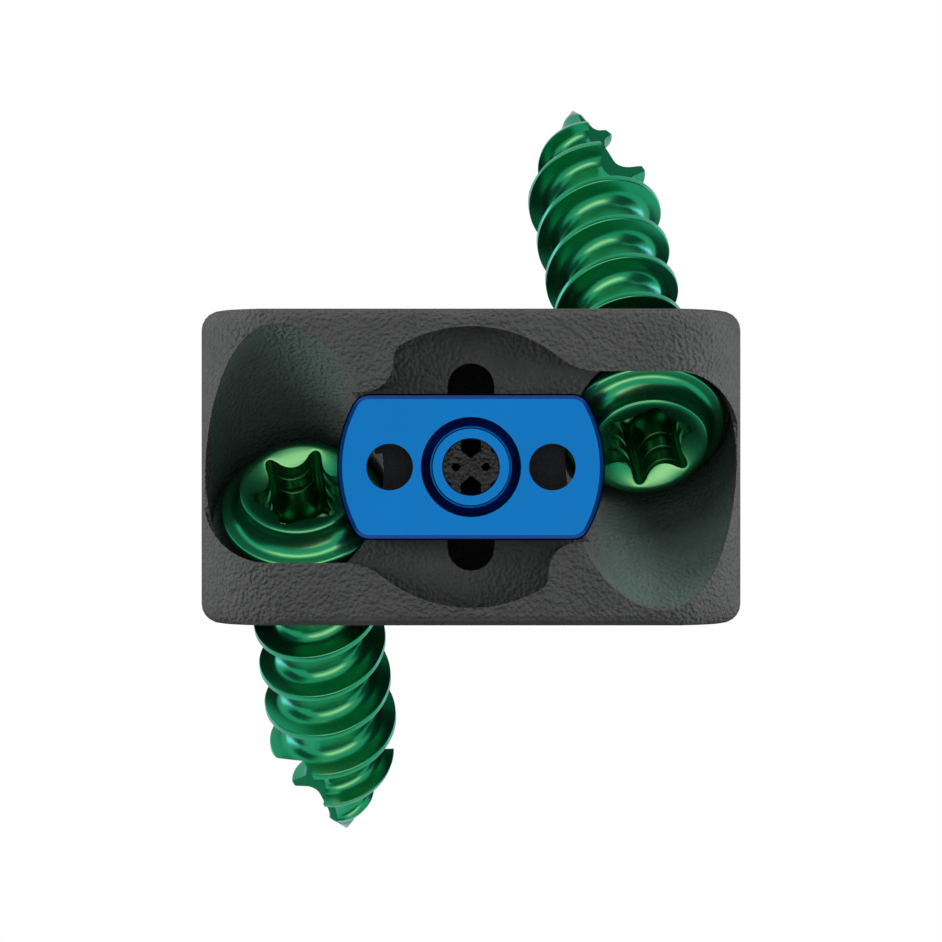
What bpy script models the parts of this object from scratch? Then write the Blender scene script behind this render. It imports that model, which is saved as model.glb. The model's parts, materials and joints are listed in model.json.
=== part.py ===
"""Stand-alone cervical interbody cage: body, turning lock plate, hollow pivot and two bone screws.

Axes: +X is right and +Z is up as seen from the front, and +Y runs back into the disc space.
The origin is the centre of the cage body. Lengths are in metres, written in millimetres times MM.
"""
import math

import bmesh
import bpy
from mathutils import Matrix, Vector

MM = 0.001

# Cage body
BODY_WIDTH = 17.0 * MM
BODY_DEPTH = 14.0 * MM
BODY_HEIGHT = 10.0 * MM
LORDOSIS = math.radians(4.0)
FRONT_CORNER_RADIUS = 2.5 * MM
REAR_CORNER_RADIUS = 3.2 * MM
SIDE_EDGE_RADIUS = 0.6 * MM
FRONT_EDGE_RADIUS = 0.3 * MM
NOSE_EDGE_RADIUS = 1.3 * MM

# Graft window and the printed lattice on its rear wall
WINDOW_WIDTH = 8.0 * MM
WINDOW_CORNER_RADIUS = 1.2 * MM
FRONT_WALL = 5.4 * MM
REAR_WALL = 2.1 * MM
LATTICE_PITCH_X = 0.95 * MM
LATTICE_PITCH_Z = 1.7 * MM
LATTICE_CELL_WIDTH = 0.64 * MM
LATTICE_CELL_HEIGHT = 1.16 * MM
LATTICE_PORE_WIDTH = 0.32 * MM
LATTICE_PORE_HEIGHT = 0.25 * MM
LATTICE_DEPTH = 1.2 * MM
LATTICE_COLUMNS = 5
LATTICE_ROWS = 4

# Lock plate
PLATE_RADIUS = 4.22 * MM
PLATE_HALF_HEIGHT = 2.3 * MM
PLATE_CORNER_RADIUS = 0.6 * MM
PLATE_THICKNESS = 0.95 * MM
PLATE_EDGE_BEVEL = 0.16 * MM
PLATE_PROUD = 0.2 * MM
PLATE_HOLE_RADIUS = 0.737 * MM
PLATE_HOLE_OFFSET = 2.56 * MM
PLATE_SINK_RADIUS = 1.58 * MM
PLATE_SINK_DEPTH = 0.36 * MM

# Pivot sleeve
SLEEVE_BORE_RADIUS = 0.88 * MM
SLEEVE_BARREL_RADIUS = 1.1 * MM
SLEEVE_FLANGE_RADIUS = 1.24 * MM
SLEEVE_FLANGE_THICKNESS = 0.2 * MM
SLEEVE_LENGTH = 3.6 * MM
RUNNING_CLEARANCE = 0.05 * MM

# Recess that the plate turns in
PLATE_BACK_GAP = 0.1 * MM
SWEEP_CLEARANCE = 0.22 * MM
LOCKED_STOP_CLEARANCE = 0.06 * MM
OPEN_STOP_CLEARANCE = 0.14 * MM
RUN_IN_EDGE = 3.02 * MM
RUN_IN_BLEND_RADIUS = 1.9 * MM
STOP_NOSE_RADIUS = 0.95 * MM
STOP_CORNER_RADIUS = 0.45 * MM
MOUTH_RADIUS = 2.0 * MM
MOUTH_SIDE = 8.43 * MM
MOUTH_DEPTH = 1.85 * MM
SLOT_WIDTH = 1.48 * MM
SLOT_OUTER_END = 3.27 * MM
SLOT_INNER_END = 1.46 * MM
SLOT_DEPTH = 3.4 * MM

# Bone screws, measured from the flange centre along the axis
SCREW_TILT = math.radians(42.0)
SEAT_LEAN = math.radians(11.0)
LOWER_SCREW_LEAN = math.radians(7.5)
UPPER_SCREW_LEAN = math.radians(12.3)
LOWER_SCREW_X = 5.3 * MM
UPPER_SCREW_X = 5.43 * MM
LOWER_THREAD_TURN = math.radians(56.0)
UPPER_THREAD_TURN = math.radians(-121.0)
LOWER_SOCKET_TURN = math.radians(5.4)
UPPER_SOCKET_TURN = math.radians(15.0)
SEAT_X = 5.48 * MM
SEAT_Z = 1.28 * MM
SEAT_DEPTH = 2.44 * MM
SCREW_LENGTH = 15.4 * MM
THREAD_RADIUS = 2.05 * MM
CORE_RADIUS = 1.35 * MM
THREAD_PITCH = 1.88 * MM
THREAD_CREST = 0.24 * MM
THREAD_FLANK = math.radians(12.0)
THREAD_ROOT_RADIUS = 0.45 * MM
THREAD_RUN_OUT = 1.6 * MM
NECK_RADIUS = 1.9 * MM
NECK_HEIGHT = 0.72 * MM
CORE_FLARE_RADIUS = 1.88 * MM
CORE_FLARE_LENGTH = 3.28 * MM
TIP_CONE_SLOPE = 0.61
TIP_SHOULDER_SLOPE = 0.34
TIP_SHOULDER_LENGTH = 4.2 * MM
TIP_CORE_SLOPE = 0.25
TIP_CORE_RADIUS = 0.22 * MM
FLUTE_LENGTH = 4.2 * MM
FLUTE_WEB = 0.15 * MM
FLUTE_SPREAD = 0.32
FLUTE_RISE = 0.32
FLUTE_TILT = math.radians(8.0)
FLUTE_TILT_HEIGHT = 3.0 * MM
FLUTE_RUN_OUT_RADIUS = 0.5 * MM
FLUTE_ANGLE = math.radians(124.0)
FLUTE_COUNT = 2

# Screw head and its drive socket
FLANGE_RADIUS = 2.62 * MM
FLANGE_THICKNESS = 0.34 * MM
FLANGE_EDGE = 0.1 * MM
HEAD_WALL_RADIUS = 1.93 * MM
HEAD_RISE = 1.0 * MM
HEAD_FILLET_WIDTH = 0.41 * MM
HEAD_FILLET_HEIGHT = 0.6 * MM
RIM_BEVEL = 0.05 * MM
SOCKET_MOUTH_RADIUS = 1.66 * MM
LEAD_IN_SLOPE = 0.577
LOBE_OUTER_RADIUS = 1.6 * MM
LOBE_INNER_RADIUS = 1.13 * MM
LOBE_POINT_RADIUS = 0.17 * MM
LOBE_BULGE_RADIUS = 0.9 * MM
LOBE_COUNT = 6
SOCKET_DEPTH = 3.05 * MM
SOCKET_POINT = 0.45 * MM

# Screw pockets and channels in the body
POCKET_RADIUS = 2.75 * MM
POCKET_FLOOR = 0.4 * MM
SEAT_WALL_CLEARANCE = 0.1 * MM
SEAT_RISE = 2.1 * MM
SEAT_CLEARANCE = 0.1 * MM
CHANNEL_CLEARANCE = 0.08 * MM
CHANNEL_SPREAD = 0.032

# Facets
ROUND_STEPS = 40
SCREW_STEPS = 26
OVERCUT = 1.0 * MM


def clear_scene():
    for item in list(bpy.data.objects):
        bpy.data.objects.remove(item, do_unlink=True)


def make_material(name, colour, metallic, roughness):
    material = bpy.data.materials.new(name)
    material.use_nodes = True
    shader = material.node_tree.nodes["Principled BSDF"]
    shader.inputs["Base Color"].default_value = (*colour, 1.0)
    shader.inputs["Metallic"].default_value = metallic
    shader.inputs["Roughness"].default_value = roughness
    return material


def printed_titanium():
    return make_material("printed_titanium", (0.065, 0.065, 0.066), 0.6, 0.62)


def blue_anodised():
    return make_material("blue_anodised_titanium", (0.009, 0.17, 0.5), 0.85, 0.32)


def green_anodised():
    return make_material("green_anodised_titanium", (0.01, 0.3, 0.1), 1.0, 0.24)


def add_object(name, bm, material=None):
    """Turn a bmesh into a linked object with outward normals."""
    bmesh.ops.recalc_face_normals(bm, faces=bm.faces)
    mesh = bpy.data.meshes.new(name)
    bm.to_mesh(mesh)
    bm.free()
    item = bpy.data.objects.new(name, mesh)
    bpy.context.collection.objects.link(item)
    if material:
        mesh.materials.append(material)
    return item


def arc(centre_x, centre_z, radius, start, end, steps):
    """Points of an arc in the XZ plane, both ends included."""
    points = []
    for index in range(steps + 1):
        angle = start + (end - start) * index / steps
        points.append((centre_x + radius * math.cos(angle), centre_z + radius * math.sin(angle)))
    return points


def prism(name, outline, y_front, y_back, material=None):
    """Closed solid with the same XZ outline from one Y to another."""
    bm = bmesh.new()
    front = [bm.verts.new((x, y_front, z)) for x, z in outline]
    back = [bm.verts.new((x, y_back, z)) for x, z in outline]
    join_rings(bm, front, back)
    bm.faces.new(front)
    bm.faces.new(reversed(back))
    return add_object(name, bm, material)


def join_rings(bm, first, second):
    count = len(first)
    for index in range(count):
        after = (index + 1) % count
        bm.faces.new((first[index], first[after], second[after], second[index]))


def lathe(name, profile, steps, material=None):
    """Closed solid turned about local Z from (height, radius) pairs, capped at both ends."""
    bm = bmesh.new()
    rings = [ring_at(bm, height, radius, steps) for height, radius in profile]
    for lower, upper in zip(rings, rings[1:]):
        join_rings(bm, lower, upper)
    bm.faces.new(rings[0])
    bm.faces.new(rings[-1])
    return add_object(name, bm, material)


def ring_at(bm, height, radius, steps):
    ring = []
    for index in range(steps):
        angle = 2.0 * math.pi * index / steps
        ring.append(bm.verts.new((radius * math.cos(angle), radius * math.sin(angle), height)))
    return ring


def cut(target, cutter):
    """Take the cutter out of the target and keep the cutter as a hidden guide."""
    modifier = target.modifiers.new(cutter.name, "BOOLEAN")
    modifier.operation = "DIFFERENCE"
    modifier.solver = "EXACT"
    modifier.object = cutter
    cutter.hide_render = True
    cutter.display_type = "WIRE"


def bake(target):
    """Replace the mesh by its modified form and drop the guides it was cut with."""
    bpy.context.view_layer.update()
    graph = bpy.context.evaluated_depsgraph_get()
    mesh = bpy.data.meshes.new_from_object(target.evaluated_get(graph))
    guides = {modifier.object for modifier in target.modifiers if modifier.type == "BOOLEAN"}
    target.modifiers.clear()
    target.data = mesh
    mesh.name = target.name
    for guide in sorted(guides, key=lambda item: item.name):
        bpy.data.objects.remove(guide, do_unlink=True)


def shade(target, angle):
    """Shade smooth with sharp edges where faces meet at more than the given angle."""
    mesh = target.data
    mesh.shade_smooth()
    mesh.set_sharp_from_angle(angle=angle)


def body_half_width(depth):
    """Half the body's width at a depth behind its front face."""
    half = BODY_WIDTH / 2.0
    if depth < FRONT_CORNER_RADIUS:
        return half - corner_loss(FRONT_CORNER_RADIUS, depth)
    if depth > BODY_DEPTH - REAR_CORNER_RADIUS:
        return half - corner_loss(REAR_CORNER_RADIUS, BODY_DEPTH - depth)
    return half


def body_half_height(depth):
    """Half the body's height at a depth behind its front face."""
    half = BODY_HEIGHT / 2.0 - depth * math.tan(LORDOSIS / 2.0)
    if depth < FRONT_EDGE_RADIUS:
        return half - corner_loss(FRONT_EDGE_RADIUS, depth)
    if depth > BODY_DEPTH - NOSE_EDGE_RADIUS:
        return half - corner_loss(NOSE_EDGE_RADIUS, BODY_DEPTH - depth)
    return half


def corner_loss(radius, inset):
    """How far a rounded corner lies inside the sharp one, an inset from its end."""
    return radius - math.sqrt(max(0.0, radius ** 2 - (radius - inset) ** 2))


def round_depths(radius, steps):
    return [radius * (1.0 - math.cos(math.pi / 2.0 * index / steps)) for index in range(steps + 1)]


def body_depths():
    """Depths of the loft's sections, close together where the corners curve."""
    front = set(round_depths(FRONT_CORNER_RADIUS, 9)) | set(round_depths(FRONT_EDGE_RADIUS, 3))
    rear = set(round_depths(REAR_CORNER_RADIUS, 7)) | set(round_depths(NOSE_EDGE_RADIUS, 4))
    depths = sorted(front | {BODY_DEPTH - value for value in rear})
    kept = [depths[0]]
    for depth in depths[1:]:
        if depth - kept[-1] > 0.02 * MM:
            kept.append(depth)
    return kept


def rounded_rectangle(half_x, half_z, radius, steps):
    points = []
    for turn, (sign_x, sign_z) in enumerate(((1, 1), (-1, 1), (-1, -1), (1, -1))):
        centre_x = sign_x * (half_x - radius)
        centre_z = sign_z * (half_z - radius)
        start = turn * math.pi / 2.0
        points += arc(centre_x, centre_z, radius, start, start + math.pi / 2.0, steps)
    return points


def body_blank(material):
    """Body without its cuts: rounded rectangles lofted from front to back."""
    bm = bmesh.new()
    rings = []
    for depth in body_depths():
        y = depth - BODY_DEPTH / 2.0
        outline = rounded_rectangle(body_half_width(depth), body_half_height(depth), SIDE_EDGE_RADIUS, 5)
        rings.append([bm.verts.new((x, y, z)) for x, z in outline])
    for front, back in zip(rings, rings[1:]):
        join_rings(bm, front, back)
    bm.faces.new(rings[0])
    bm.faces.new(rings[-1])
    bmesh.ops.dissolve_limit(bm, angle_limit=math.radians(0.02), verts=bm.verts, edges=bm.edges)
    return add_object("cage_body", bm, material)


def front_y():
    return -BODY_DEPTH / 2.0


def recess_depth():
    return PLATE_THICKNESS - PLATE_PROUD + PLATE_BACK_GAP


def recess_outline():
    """Outline of the plate's recess, the upper half and the same half turned by 180 degrees."""
    sweep = PLATE_RADIUS + SWEEP_CLEARANCE
    locked_stop = PLATE_HALF_HEIGHT + LOCKED_STOP_CLEARANCE
    open_stop = PLATE_HALF_HEIGHT + OPEN_STOP_CLEARANCE
    blend_z = RUN_IN_EDGE + RUN_IN_BLEND_RADIUS
    blend_x = math.sqrt((sweep + RUN_IN_BLEND_RADIUS) ** 2 - blend_z ** 2)
    blend_angle = math.atan2(blend_z, blend_x)
    corner_x = -(open_stop - STOP_CORNER_RADIUS)
    corner_z = math.sqrt((sweep - STOP_CORNER_RADIUS) ** 2 - corner_x ** 2)
    corner_angle = math.atan2(corner_z, corner_x)
    nose_x = -(open_stop + STOP_NOSE_RADIUS)
    nose_z = locked_stop + STOP_NOSE_RADIUS
    half = [(MOUTH_SIDE - MOUTH_RADIUS, RUN_IN_EDGE)]
    half += arc(blend_x, blend_z, RUN_IN_BLEND_RADIUS, -math.pi / 2.0, blend_angle - math.pi, 6)
    half += arc(0.0, 0.0, sweep, blend_angle, corner_angle, 12)[1:]
    half += arc(corner_x, corner_z, STOP_CORNER_RADIUS, corner_angle, math.pi, 3)[1:]
    half += arc(nose_x, nose_z, STOP_NOSE_RADIUS, 0.0, -math.pi / 2.0, 6)
    half.append((-SEAT_X, locked_stop))
    half.append((-SEAT_X, 0.0))
    half.append((-(MOUTH_SIDE - MOUTH_RADIUS), 0.0))
    return half + [(-x, -z) for x, z in half]


def seat_frame(side, lean, offset=SEAT_X):
    """Placement of an axis: origin at the flange centre, local Z from tip to head."""
    turn = Matrix.Rotation(math.pi, 4, "Y") if side == "upper" else Matrix.Identity(4)
    place = Matrix.Translation(Vector((-offset, front_y() + SEAT_DEPTH, -SEAT_Z)))
    swing = Matrix.Rotation(-lean, 4, "Y")
    tip_up = Matrix.Rotation(math.pi / 2.0 - SCREW_TILT, 4, "X")
    return turn @ place @ swing @ tip_up


def screw_frame(side):
    if side == "upper":
        return seat_frame(side, UPPER_SCREW_LEAN, UPPER_SCREW_X)
    return seat_frame(side, LOWER_SCREW_LEAN, LOWER_SCREW_X)


def recess_cutter():
    return prism("recess_guide", recess_outline(), front_y() - OVERCUT, front_y() + recess_depth())


def mouth_cutter(side):
    """Round relief that lets the flange in at the outer corner of a pocket."""
    sign = 1.0 if side == "upper" else -1.0
    centre_x = sign * (MOUTH_SIDE - MOUTH_RADIUS)
    centre_z = sign * (RUN_IN_EDGE - MOUTH_RADIUS)
    outline = arc(centre_x, centre_z, MOUTH_RADIUS, 0.0, 2.0 * math.pi, ROUND_STEPS)[:-1]
    return prism("mouth_guide_" + side, outline, front_y() - OVERCUT, front_y() + MOUTH_DEPTH)


def pocket_cutter(side):
    """Round pocket that the head is reached through."""
    profile = [(-POCKET_FLOOR, POCKET_RADIUS), (BODY_DEPTH, POCKET_RADIUS)]
    cutter = lathe("pocket_guide_" + side, profile, ROUND_STEPS)
    cutter.matrix_world = seat_frame(side, SEAT_LEAN)
    return cutter


def seat_cutter(side):
    """Seat cone under the screw's flange and the channel for its thread, on the screw's own axis."""
    wall = FLANGE_RADIUS + SEAT_WALL_CLEARANCE
    channel = THREAD_RADIUS + CHANNEL_CLEARANCE
    under_flange = -FLANGE_THICKNESS / 2.0 - SEAT_CLEARANCE
    slope = (NECK_HEIGHT - FLANGE_THICKNESS / 2.0) / (FLANGE_RADIUS - NECK_RADIUS)
    seat_low = under_flange - slope * (FLANGE_RADIUS - channel)
    reach = BODY_DEPTH
    profile = [
        (-reach, channel + CHANNEL_SPREAD * (reach + seat_low)),
        (seat_low, channel),
        (under_flange, FLANGE_RADIUS),
        (under_flange, wall),
        (SEAT_RISE, wall),
    ]
    cutter = lathe("seat_guide_" + side, profile, ROUND_STEPS)
    cutter.matrix_world = screw_frame(side)
    return cutter


def window_cutter():
    """Graft window through the body from top to bottom."""
    half_x = WINDOW_WIDTH / 2.0
    front = front_y() + FRONT_WALL
    back = BODY_DEPTH / 2.0 - REAR_WALL
    outline = rounded_rectangle(half_x, (back - front) / 2.0, WINDOW_CORNER_RADIUS, 5)
    cutter = prism("window_guide", outline, -BODY_HEIGHT, BODY_HEIGHT)
    centre = Matrix.Translation(Vector((0.0, (front + back) / 2.0, 0.0)))
    cutter.matrix_world = centre @ Matrix.Rotation(math.pi / 2.0, 4, "X")
    return cutter


def slot_cutter(sign):
    """Blind slot in the recess floor, above or below the pivot."""
    radius = SLOT_WIDTH / 2.0
    outer = SLOT_OUTER_END - radius
    inner = SLOT_INNER_END + radius
    outline = arc(0.0, outer, radius, 0.0, math.pi, 10) + arc(0.0, inner, radius, math.pi, 2.0 * math.pi, 10)
    outline = [(x, sign * z) for x, z in outline]
    name = "slot_guide_upper" if sign > 0 else "slot_guide_lower"
    return prism(name, outline, front_y(), front_y() + SLOT_DEPTH)


def sleeve_front():
    return front_y() - PLATE_PROUD + PLATE_SINK_DEPTH


def bore_cutter():
    """Stepped bore that holds the sleeve and opens into the graft window."""
    shoulder = sleeve_front() + SLEEVE_LENGTH + RUNNING_CLEARANCE
    barrel = SLEEVE_BARREL_RADIUS + RUNNING_CLEARANCE
    profile = [
        (front_y(), barrel),
        (shoulder, barrel),
        (shoulder, SLEEVE_BORE_RADIUS),
        (front_y() + FRONT_WALL + OVERCUT, SLEEVE_BORE_RADIUS),
    ]
    cutter = lathe("bore_guide", profile, ROUND_STEPS)
    cutter.matrix_world = along_y()
    return cutter


def along_y():
    """Turns a shape made about local Z so that its axis runs along +Y."""
    return Matrix.Rotation(-math.pi / 2.0, 4, "X")


def lattice_cutters():
    """Blind cells and small pores of the printed lattice on the window's rear wall."""
    face = BODY_DEPTH / 2.0 - REAR_WALL
    cutters = []
    for row in range(LATTICE_ROWS):
        for column in range(LATTICE_COLUMNS):
            x = (column - (LATTICE_COLUMNS - 1) / 2.0) * LATTICE_PITCH_X
            z = (row - (LATTICE_ROWS - 1) / 2.0) * LATTICE_PITCH_Z
            cutters.append((x, z, cell_outline(x, z)))
    for row in range(LATTICE_ROWS - 1):
        for column in range(LATTICE_COLUMNS - 1):
            x = (column - (LATTICE_COLUMNS - 2) / 2.0) * LATTICE_PITCH_X
            z = (row - (LATTICE_ROWS - 2) / 2.0) * LATTICE_PITCH_Z
            cutters.append((x, z, pore_outline(x, z)))
    bm = bmesh.new()
    for _, _, outline in cutters:
        front = [bm.verts.new((x, face - OVERCUT, z)) for x, z in outline]
        back = [bm.verts.new((x, face + LATTICE_DEPTH, z)) for x, z in outline]
        join_rings(bm, front, back)
        bm.faces.new(front)
        bm.faces.new(reversed(back))
    return add_object("lattice_guide", bm)


def cell_outline(x, z):
    """Upright six-sided cell with pointed ends."""
    half_x = LATTICE_CELL_WIDTH / 2.0
    half_z = LATTICE_CELL_HEIGHT / 2.0
    shoulder = half_z - half_x * 0.8
    corners = ((0, half_z), (-half_x, shoulder), (-half_x, -shoulder),
               (0, -half_z), (half_x, -shoulder), (half_x, shoulder))
    return [(x + dx, z + dz) for dx, dz in corners]


def pore_outline(x, z):
    half_x = LATTICE_PORE_WIDTH / 2.0
    half_z = LATTICE_PORE_HEIGHT / 2.0
    corners = ((half_x, 0), (half_x * 0.4, half_z), (-half_x * 0.4, half_z),
               (-half_x, 0), (-half_x * 0.4, -half_z), (half_x * 0.4, -half_z))
    return [(x + dx, z + dz) for dx, dz in corners]


def make_cage_body():
    body = body_blank(printed_titanium())
    cut(body, window_cutter())
    for side in ("lower", "upper"):
        cut(body, pocket_cutter(side))
        cut(body, seat_cutter(side))
        cut(body, mouth_cutter(side))
    cut(body, recess_cutter())
    cut(body, slot_cutter(1.0))
    cut(body, slot_cutter(-1.0))
    cut(body, bore_cutter())
    cut(body, lattice_cutters())
    bake(body)
    shade(body, math.radians(32.0))
    return body


def plate_outline(inset):
    """Disc cut to the plate's height with its four corners rounded, inset from the full size."""
    radius = PLATE_RADIUS - inset
    half_height = PLATE_HALF_HEIGHT - inset
    corner = PLATE_CORNER_RADIUS - inset
    centre_z = half_height - corner
    centre_x = math.sqrt((radius - corner) ** 2 - centre_z ** 2)
    corner_angle = math.atan2(centre_z, centre_x)
    right = arc(0.0, 0.0, radius, -corner_angle, corner_angle, 10)
    right += arc(centre_x, centre_z, corner, corner_angle, math.pi / 2.0, 5)[1:]
    left = [(-x, -z) for x, z in right]
    lower_left = arc(-centre_x, centre_z, corner, math.pi / 2.0, math.pi - corner_angle, 5)[:-1]
    lower_right = [(-x, -z) for x, z in lower_left]
    return right + lower_left + left + lower_right


def make_lock_plate():
    """Plate about the pivot axis, its origin on that axis at the middle of its thickness."""
    bm = bmesh.new()
    half = PLATE_THICKNESS / 2.0
    layers = ((-half, PLATE_EDGE_BEVEL), (-half + PLATE_EDGE_BEVEL * 0.3, PLATE_EDGE_BEVEL * 0.3),
              (-half + PLATE_EDGE_BEVEL, 0.0), (half - PLATE_EDGE_BEVEL * 0.5, 0.0),
              (half, PLATE_EDGE_BEVEL * 0.5))
    rings = []
    for y, inset in layers:
        rings.append([bm.verts.new((x, y, z)) for x, z in plate_outline(inset)])
    for front, back in zip(rings, rings[1:]):
        join_rings(bm, front, back)
    bm.faces.new(rings[0])
    bm.faces.new(rings[-1])
    plate = add_object("lock_plate", bm, blue_anodised())
    plate.location = (0.0, front_y() - PLATE_PROUD + half, 0.0)
    for sign, side in ((-1.0, "left"), (1.0, "right")):
        cut(plate, plate_hole_cutter(sign, side))
    cut(plate, plate_sink_cutter())
    bake(plate)
    shade(plate, math.radians(30.0))
    return plate


def plate_hole_cutter(sign, side):
    outline = arc(sign * PLATE_HOLE_OFFSET, 0.0, PLATE_HOLE_RADIUS, 0.0, 2.0 * math.pi, ROUND_STEPS)[:-1]
    return prism("hole_guide_" + side, outline, front_y() - OVERCUT, front_y() + OVERCUT)


def plate_sink_cutter():
    """Countersink, seat for the sleeve's flange and hole for its barrel."""
    face = front_y() - PLATE_PROUD
    flange = SLEEVE_FLANGE_RADIUS + RUNNING_CLEARANCE
    seat = face + PLATE_SINK_DEPTH + SLEEVE_FLANGE_THICKNESS + RUNNING_CLEARANCE
    barrel = SLEEVE_BARREL_RADIUS + RUNNING_CLEARANCE
    slope = (PLATE_SINK_RADIUS - flange) / PLATE_SINK_DEPTH
    profile = [
        (face - OVERCUT / 10.0, PLATE_SINK_RADIUS + slope * OVERCUT / 10.0),
        (face + PLATE_SINK_DEPTH, flange),
        (seat, flange),
        (seat, barrel),
        (face + PLATE_THICKNESS + OVERCUT, barrel),
    ]
    cutter = lathe("sink_guide", profile, ROUND_STEPS)
    cutter.matrix_world = along_y()
    return cutter


def make_pivot_sleeve():
    """Hollow flanged pivot that holds the plate to the body."""
    bm = bmesh.new()
    bevel = 0.03 * MM
    flange_back = SLEEVE_FLANGE_THICKNESS
    profile = [
        (0.0, SLEEVE_FLANGE_RADIUS - bevel),
        (bevel, SLEEVE_FLANGE_RADIUS),
        (flange_back, SLEEVE_FLANGE_RADIUS),
        (flange_back, SLEEVE_BARREL_RADIUS),
        (SLEEVE_LENGTH, SLEEVE_BARREL_RADIUS),
        (SLEEVE_LENGTH, SLEEVE_BORE_RADIUS),
        (bevel, SLEEVE_BORE_RADIUS),
        (0.0, SLEEVE_BORE_RADIUS + bevel),
    ]
    rings = [ring_at(bm, height, radius, ROUND_STEPS) for height, radius in profile]
    for first, second in zip(rings, rings[1:] + rings[:1]):
        join_rings(bm, first, second)
    sleeve = add_object("pivot_sleeve", bm, blue_anodised())
    sleeve.matrix_world = Matrix.Translation(Vector((0.0, sleeve_front(), 0.0))) @ along_y()
    shade(sleeve, math.radians(30.0))
    return sleeve


def thread_section():
    """Offsets from the crest's middle and heights above the core, over one pitch."""
    height = THREAD_RADIUS - CORE_RADIUS
    meet_height = THREAD_ROOT_RADIUS * (1.0 - math.sin(THREAD_FLANK))
    meet_offset = THREAD_CREST / 2.0 + (height - meet_height) * math.tan(THREAD_FLANK)
    root_offset = meet_offset + THREAD_ROOT_RADIUS * math.cos(THREAD_FLANK)
    middle = (math.pi / 2.0 + THREAD_FLANK) / 2.0
    mid_offset = root_offset - THREAD_ROOT_RADIUS * math.sin(math.pi / 2.0 - middle)
    mid_height = THREAD_ROOT_RADIUS * (1.0 - math.cos(math.pi / 2.0 - middle))
    rising = [(-root_offset, 0.0), (-mid_offset, mid_height), (-meet_offset, meet_height),
              (-THREAD_CREST / 2.0, height)]
    falling = [(-offset, level) for offset, level in reversed(rising)]
    return [(offset, level / height) for offset, level in rising + falling]


def core_radius_at(height):
    """Radius of the screw's core, tapering to the tip and flaring out around the socket."""
    from_tip = height + SCREW_LENGTH
    taper = TIP_CORE_RADIUS + TIP_CORE_SLOPE * from_tip
    flare = max(0.0, 1.0 + (height + NECK_HEIGHT) / CORE_FLARE_LENGTH)
    core = CORE_RADIUS + (CORE_FLARE_RADIUS - CORE_RADIUS) * flare
    return min(core, taper, TIP_CONE_SLOPE * from_tip)


def crest_radius_at(height):
    """Radius of the thread's crest, tapering to the tip and running out under the head."""
    from_tip = height + SCREW_LENGTH
    shoulder = THREAD_RADIUS - TIP_SHOULDER_SLOPE * (TIP_SHOULDER_LENGTH - from_tip)
    radius = min(THREAD_RADIUS, shoulder, TIP_CONE_SLOPE * from_tip)
    core = core_radius_at(height)
    fade = max(0.0, min(1.0, (-NECK_HEIGHT - height) / THREAD_RUN_OUT))
    return core + max(0.0, radius - core) * fade


def screw_blank(name, material):
    """Threaded shank and head before the socket and flutes are cut, about local Z."""
    bm = bmesh.new()
    section = thread_section()
    turns = math.ceil((SCREW_LENGTH - NECK_HEIGHT) / THREAD_PITCH) + 2
    rows = []
    for turn in range(turns):
        for offset, level in section:
            rows.append((-SCREW_LENGTH + (turn - 1) * THREAD_PITCH + offset, level))
    grid = [thread_row(bm, start, level) for start, level in rows]
    for lower, upper in zip(grid, grid[1:]):
        for index in range(SCREW_STEPS):
            bm.faces.new((lower[index], lower[index + 1], upper[index + 1], upper[index]))
    rings = [ring_at(bm, height, radius, SCREW_STEPS) for height, radius in head_profile()]
    for lower, upper in zip(rings, rings[1:]):
        join_rings(bm, lower, upper)
    bm.faces.new(rings[-1])
    bmesh.ops.remove_doubles(bm, verts=bm.verts, dist=0.00005 * MM)
    return add_object(name, bm, material)


def thread_row(bm, start, level):
    """One line of the thread's surface, rising by a pitch in one turn and held between its ends."""
    row = []
    for index in range(SCREW_STEPS + 1):
        angle = 2.0 * math.pi * index / SCREW_STEPS
        height = start + THREAD_PITCH * index / SCREW_STEPS
        height = max(-SCREW_LENGTH, min(-NECK_HEIGHT, height))
        core = core_radius_at(height)
        radius = core + (crest_radius_at(height) - core) * level
        row.append(bm.verts.new((radius * math.cos(angle), radius * math.sin(angle), height)))
    return row


def head_profile():
    """Heights and radii of the head from the neck up to its rim."""
    half = FLANGE_THICKNESS / 2.0
    edge = FLANGE_EDGE
    profile = [(-NECK_HEIGHT, CORE_FLARE_RADIUS)]
    profile.append((-NECK_HEIGHT + 0.08 * MM, NECK_RADIUS))
    profile.append((-half, FLANGE_RADIUS - edge * 0.5))
    profile.append((-half + edge * 0.5, FLANGE_RADIUS))
    profile.append((half - edge, FLANGE_RADIUS))
    profile.append((half - edge * 0.3, FLANGE_RADIUS - edge * 0.3))
    profile.append((half, FLANGE_RADIUS - edge))
    for share in (0.0, 0.2, 0.4, 0.65, 1.0):
        angle = share * math.pi / 2.0
        radius = HEAD_WALL_RADIUS + HEAD_FILLET_WIDTH * (1.0 - math.sin(angle))
        profile.append((half + HEAD_FILLET_HEIGHT * (1.0 - math.cos(angle)), radius))
    profile.append((HEAD_RISE - RIM_BEVEL, HEAD_WALL_RADIUS))
    profile.append((HEAD_RISE, HEAD_WALL_RADIUS - RIM_BEVEL))
    return profile


def lead_in_cutter(name, frame):
    """Cone that opens the socket at the rim."""
    inner = LOBE_INNER_RADIUS * 0.98
    reach = SOCKET_MOUTH_RADIUS - inner
    profile = [
        (HEAD_RISE - reach * LEAD_IN_SLOPE, inner),
        (HEAD_RISE, SOCKET_MOUTH_RADIUS),
        (HEAD_RISE + reach * LEAD_IN_SLOPE, SOCKET_MOUTH_RADIUS + reach),
    ]
    cutter = lathe(name, profile, ROUND_STEPS)
    cutter.matrix_world = frame
    return cutter


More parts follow.
